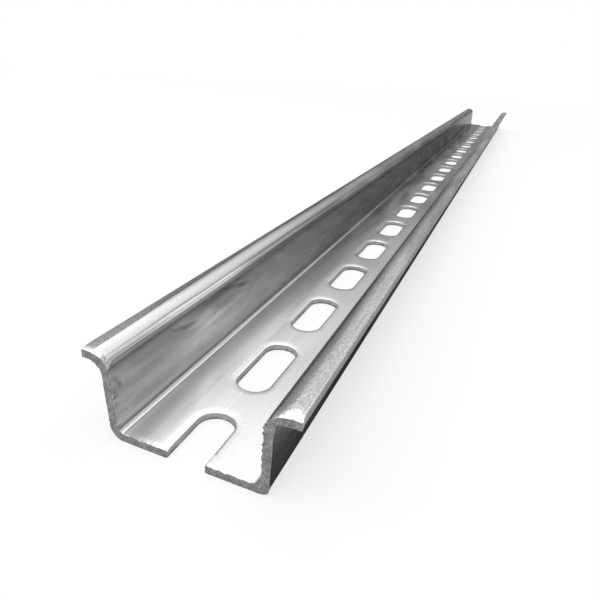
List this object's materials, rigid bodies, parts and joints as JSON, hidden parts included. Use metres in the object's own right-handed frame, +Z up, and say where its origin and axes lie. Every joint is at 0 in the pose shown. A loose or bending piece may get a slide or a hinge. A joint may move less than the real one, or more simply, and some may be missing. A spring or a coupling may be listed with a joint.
{
  "type": "din rail",
  "caption": "Deep top-hat mounting rail for clip-on control gear: a bent steel channel with two outward flanges and a row of long fixing slots, cut through a slot at each end.",
  "frame": {"origin": "under the middle of the rail, on the plane of the base's underside", "axes": "+X along the rail, away from the end whose cut leaves the longer open slot; +Y across it; +Z up from the mounting face to the flanges"},
  "size_m": [0.5, 0.035, 0.015],
  "materials": {
    "zinc_plated_steel": "bright zinc plating over rolled steel strip, satin, with fine lines along the length"
  },
  "bodies": {
    "root": {"rail": "zinc_plated_steel"}
  },
  "joints": []
}
